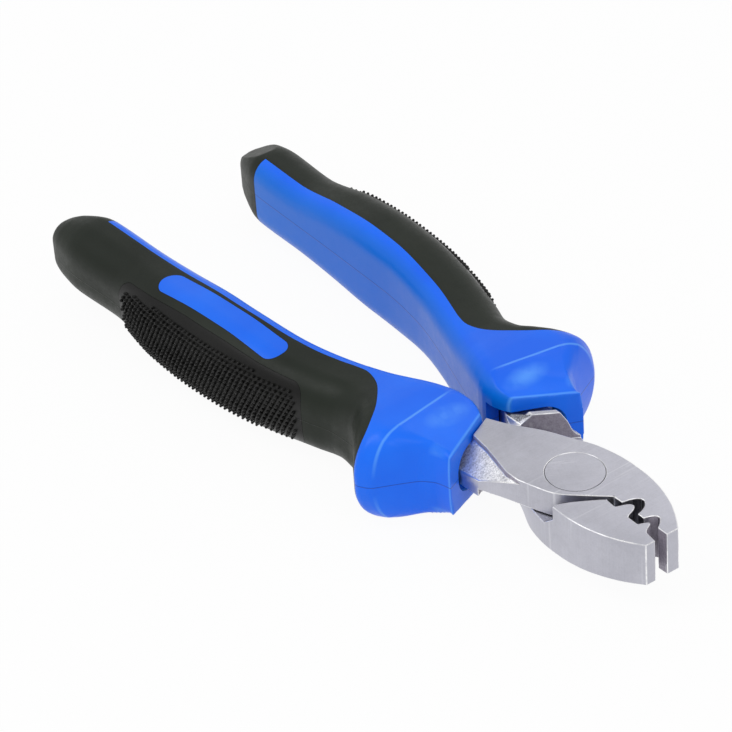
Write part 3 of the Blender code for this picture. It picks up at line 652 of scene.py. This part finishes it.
def skinPlate(name, grow):
    line = np.array(flow(skinSet["line"], 1.0))
    along = np.gradient(line, axis=0)
    along /= np.linalg.norm(along, axis=1, keepdims=True)
    line = line + grow * np.c_[along[:, 1], -along[:, 0]]
    edge = skinSet["capEdge"] + grow
    line[0, 0] = edge
    around = [(x, -y) for x, y in line] + [(line[-1][0], -90.0), (-200.0, -90.0), (-200.0, 50.0), (edge, 50.0)]
    return plateFrom(name, around, -50.0, 50.0)


def barOutline(grow):
    halfLong, halfWide = inlaySet["long"] / 2 + grow, inlaySet["wide"] / 2 + grow
    r = inlaySet["round"] + grow
    turn = radians(inlaySet["turn"])
    out = []
    for quarter, (sx, sy) in enumerate(((1, 1), (-1, 1), (-1, -1), (1, -1))):
        for angle in np.linspace(pi / 2 * quarter, pi / 2 * (quarter + 1), 12):
            x, y = sx * (halfLong - r) + r * cos(angle), sy * (halfWide - r) + r * sin(angle)
            out.append((inlaySet["centre"][0] + cos(turn) * x - sin(turn) * y,
                        -(inlaySet["centre"][1] + sin(turn) * x + cos(turn) * y)))
    return out


def padHalf(x):
    # half height of the pad at x, with rounded corners at both ends
    half = curveValue(gripSet["sections"], 3, x) - padSet["edge"]
    r = padSet["round"]
    for end, way in ((padSet["back"], 1), (padSet["front"], -1)):
        inside = way * (x - end)
        if inside < r:
            half -= r - (max(0.0, r * r - (r - max(inside, 0.0)) ** 2)) ** 0.5
    return half


def padOutline(grow):
    middle = (padSet["back"] + padSet["front"]) / 2
    xs = np.r_[np.linspace(padSet["back"], padSet["back"] + padSet["round"], 8),
               np.arange(padSet["back"] + 5.0, padSet["front"] - 4.9, 2.0),
               np.linspace(padSet["front"] - padSet["round"], padSet["front"], 8)]
    grow += padSet["border"]
    upper = [(x + grow * (x - middle) / (padSet["front"] - middle), padHalf(x) + grow) for x in xs]
    return upper + [(x, -z) for x, z in reversed(upper)]


def hollowTool(tool, depth, x0=-127.0, x1=-57.0):
    # the tool keeps only what lies above a depth under the grip's surface
    cutWith(tool, gripForm("inside", x0, x1, depth))
    return tool


def tangSpace(grow):
    # the hollow for the tang, an octagon with cut corners at every row
    rows, c = tangSet["rows"], tangSet["corner"]
    xs = [rows[0][0] - grow] + [r[0] for r in rows[1:]]
    piece = ringedTube("tang_space", 8, len(xs) - 1)
    for v in piece.data.vertices:
        ring = round(v.co.x * (len(xs) - 1))
        corner = round(atan2(v.co.z, -v.co.y) / (pi / 4)) % 8
        inner, outer, half = rows[ring][1] - grow, rows[ring][2] + grow, rows[ring][3] + grow
        y, z = ((outer, c - half), (outer, half - c), (outer - c, half), (inner + c, half), (inner, half - c),
                (inner, c - half), (inner + c, -half), (outer - c, -half))[(corner + 1) % 8]
        v.co = world((xs[ring], -y, z))
    return faceOutward(piece)


thick, hair = skinSet["thick"], skinSet["hair"]
core = copyOf(softForm, "near_core")
cutWith(core, skinPlate("skin_space", hair))
cutWith(core, gripForm("heart", *coreSet["heart"], thick), "UNION")
cutWith(core, tangSpace(tangSet["gap"]))
half, r = coreSet["mouthHalf"], coreSet["mouthRound"]
mouth = [(60.0, half)]
for cz, first in ((half - r, pi / 2), (r - half, pi)):
    mouth += [(r - coreSet["mouthOuter"] + r * cos(a), cz + r * sin(a))
              for a in np.linspace(first, first + pi / 2, 12)]
cutWith(core, plateFrom("mouth", mouth + [(60.0, -half)], coreSet["mouthDepth"], 60.0, "YZ"))

skin = copyOf(softForm, "near_overmould")
cutWith(skin, skinPlate("skin_region", 0.0), "INTERSECT")
cutWith(skin, gripForm("heart_space", coreSet["heart"][0] - hair, coreSet["heart"][1] + hair, thick - hair))
inlay = copyOf(softForm, "near_inlay")
cutWith(inlay, hollowTool(plateFrom("inlay_region", barOutline(0.0), 0.0, 50.0), inlaySet["thick"]), "INTERSECT")
pad = copyOf(softForm, "near_pad")
cutWith(pad, hollowTool(plateFrom("pad_region", padOutline(0.0), -60.0, -padSet["inner"], "XZ"), padSet["thick"]),
        "INTERSECT")
cutWith(skin, hollowTool(plateFrom("inlay_space", barOutline(0.05), 0.0, 50.0), inlaySet["thick"] + hair))
cutWith(skin, hollowTool(plateFrom("pad_space", padOutline(0.06), -60.0, 0.1 - padSet["inner"], "XZ"),
                         padSet["thick"] + hair))

print("pimples")
deselectAll()
bpy.ops.mesh.primitive_cone_add(vertices=8, radius1=padSet["foot"] * mm, radius2=padSet["top"] * mm,
                                depth=padSet["tall"] * mm, location=(0, 0, padSet["tall"] * mm / 2))
pimple = bpy.context.object
bpy.ops.object.transform_apply(location=True, rotation=True, scale=True)
bpy.ops.object.mode_set(mode="EDIT")
bpy.ops.mesh.select_all(action="DESELECT")
bpy.ops.mesh.select_mode(type="FACE")
bpy.ops.object.mode_set(mode="OBJECT")
for face in pimple.data.polygons:
    face.select = face.normal.z > 0.9
bpy.ops.object.mode_set(mode="EDIT")
bpy.ops.mesh.bevel(offset=padSet["tipRound"] * mm, segments=2, affect="EDGES")
bpy.ops.object.mode_set(mode="OBJECT")
pimple.data.transform(Matrix.Translation((0, 0, -padSet["sink"] * mm)))


def padPoint(x, s):
    line, run = sectionLine(x, 0.0)
    y, z = np.interp(s % run[-1], run, line[:, 0]), np.interp(s % run[-1], run, line[:, 1])
    return Vector((x, -y, z))


field = bmesh.new()
backMargin, frontMargin, sideMargin = padSet["margin"]
for row in range(-padSet["rows"], padSet["rows"] + 1):
    s = row * padSet["row"]
    x = padSet["back"] + backMargin + (row % 2) * padSet["pitch"] / 2
    while x < padSet["front"] - frontMargin:
        spot = padPoint(x, s)
        if abs(spot.z) < padHalf(x) - sideMargin and padHalf(x) > 0.5:
            side, ahead = padPoint(x, s + 0.4) - padPoint(x, s - 0.4), padPoint(x + 0.6, s) - padPoint(x - 0.6, s)
            normal = side.cross(ahead).normalized()
            if normal.y > 0:
                normal = -normal
            count = len(field.verts)
            field.from_mesh(pimple.data)
            field.verts.ensure_lookup_table()
            tilt = [radians(padSet["lean"]) * sin(k * (row * padSet["scatter"][0] + x * padSet["scatter"][1]))
                    for k in (3.1, 5.7)]
            turn = (Matrix.Translation(world(spot)) @ normal.to_track_quat("Z", "Y").to_matrix().to_4x4()
                    @ Matrix.Rotation(tilt[0], 4, "X") @ Matrix.Rotation(tilt[1], 4, "Y"))
            bmesh.ops.transform(field, matrix=turn, verts=field.verts[count:])
        x += padSet["pitch"]
fieldMesh = bpy.data.meshes.new("pimple_field")
field.to_mesh(fieldMesh)
print("  pimple faces", len(fieldMesh.polygons))
pimples = bpy.data.objects.new("pimple_field", fieldMesh)
bpy.context.scene.collection.objects.link(pimples)
bpy.data.objects.remove(pimple)
pick(pimples)
pad.select_set(True)
bpy.context.view_layer.objects.active = pad
bpy.ops.object.join()
bpy.data.objects.remove(softForm)

print("far grip, the near one turned over")
turnOver = Matrix.Translation(pivotSpot * mm) @ Matrix.Rotation(pi, 4, "X") @ Matrix.Translation(-pivotSpot * mm)
gripPieces = (("core", core, "blue", "blue_plastic", 35), ("skin", skin, "black", "black_rubber", 35),
              ("pad", pad, "pad", "pad_rubber", 40), ("inlay", inlay, "inlay", "blue_plastic", 35))
for label, piece, mat, slot, angle in gripPieces:
    piece.data.materials.clear()
    piece.data.materials.append(materials[mat])
    smoothShade(piece, angle)
    other = copyOf(piece, piece.name.replace("near", "far"))
    other.data.transform(turnOver)
    for obj, letter, body in ((piece, "a", "upper_lever"), (other, "b", "lower_lever")):
        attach(obj, body)
        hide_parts("grip_" + label + "_" + letter)
        print("  ", obj.name, sum(len(f.vertices) - 2 for f in obj.data.polygons), "triangles")

print("floor, lights and camera")
roomSet = {"floor": 3.0, "floorTone": (0.82, 0.82, 0.825), "paper": 0.95, "worldLevel": 0.68,
           "lamps": (("keyLamp", (-0.25, -0.55, 0.85), 0.55, 2.6), ("fillLamp", (0.75, -0.10, 0.55), 0.5, 1.3),
                     ("facetLamp", (-0.22, 0.42, 0.62), 0.22, 0.28))}
deselectAll()
bpy.ops.mesh.primitive_grid_add(x_subdivisions=2, y_subdivisions=2, size=roomSet["floor"], location=(0, 0, -0.00002))
floor = bpy.context.object
floor.name = "pale_floor"
mat, tree, shader = newMaterial("paleFloor", 0.0, 0.9)
tone = useGroup(tree, blotchGroup, Size=3.0)["Tone"]
tree.links.new(blendColours(tree, tone, roomSet["floorTone"], tuple(c + 0.02 for c in roomSet["floorTone"])),
               shader.inputs["Base Color"])
shader.inputs["Specular IOR Level"].default_value = 0.1
path = tree.nodes.new("ShaderNodeLightPath").outputs
seen = mathNode(tree, "ADD", path["Is Camera Ray"], mathNode(
    tree, "ADD", path["Is Glossy Ray"], path["Is Transmission Ray"]), True)
paper, mixed = tree.nodes.new("ShaderNodeEmission"), tree.nodes.new("ShaderNodeMixShader")
wire(tree, [(mathNode(tree, "MULTIPLY", seen, roomSet["paper"]), mixed.inputs[0]),
            (shader.outputs[0], mixed.inputs[1]), (paper.outputs[0], mixed.inputs[2]),
            (mixed.outputs[0], tree.nodes["Material Output"].inputs["Surface"])])
floor.data.materials.append(mat)

sky = bpy.data.worlds.new("softStudio")
bpy.context.scene.world = sky
sky.use_nodes = True
sky.node_tree.nodes["Background"].inputs["Color"].default_value = (1.0, 1.0, 1.0, 1.0)
sky.node_tree.nodes["Background"].inputs["Strength"].default_value = roomSet["worldLevel"]
for name, spot, size, watts in roomSet["lamps"]:
    bpy.ops.object.light_add(type="AREA", location=spot)
    lamp = bpy.context.object
    lamp.name = name
    lamp.data.size = size
    lamp.data.energy = watts
    lamp.rotation_euler = (Vector((0, 0, 0.01)) - Vector(spot)).to_track_quat("-Z", "Y").to_euler()

# the photo's view, found by fitting the rivet, jaws and collars
cameraSet = {"focal": 3622.85, "frame": 732, "height": 35.10, "around": 55.34, "roll": -4.2, "far": 764.08,
             "shift": (210.03, 129.59)}
up, around, roll = (radians(cameraSet[k]) for k in ("height", "around", "roll"))
back = Vector((sin(around) * cos(up), -cos(around) * cos(up), sin(up)))
right = (-back).cross(Vector((0, 0, 1))).normalized()
top = right.cross(-back)
rolledRight = right * cos(roll) + top * sin(roll)
rolledTop = top * cos(roll) - right * sin(roll)
mmPerPixel = cameraSet["far"] / cameraSet["focal"]
spot = (back * cameraSet["far"] - rolledRight * cameraSet["shift"][0] * mmPerPixel
        + rolledTop * cameraSet["shift"][1] * mmPerPixel)
bpy.ops.object.camera_add(location=world(spot))
camera = bpy.context.object
camera.name = "photoCamera"
camera.rotation_euler = Matrix((rolledRight, rolledTop, back)).transposed().to_euler()
camera.data.sensor_width = 36.0
camera.data.lens = 36.0 * cameraSet["focal"] / cameraSet["frame"]
camera.data.clip_end = 10.0
bpy.context.scene.camera = camera
bpy.context.scene.view_settings.view_transform = "Standard"

bpy.context.view_layer.update()
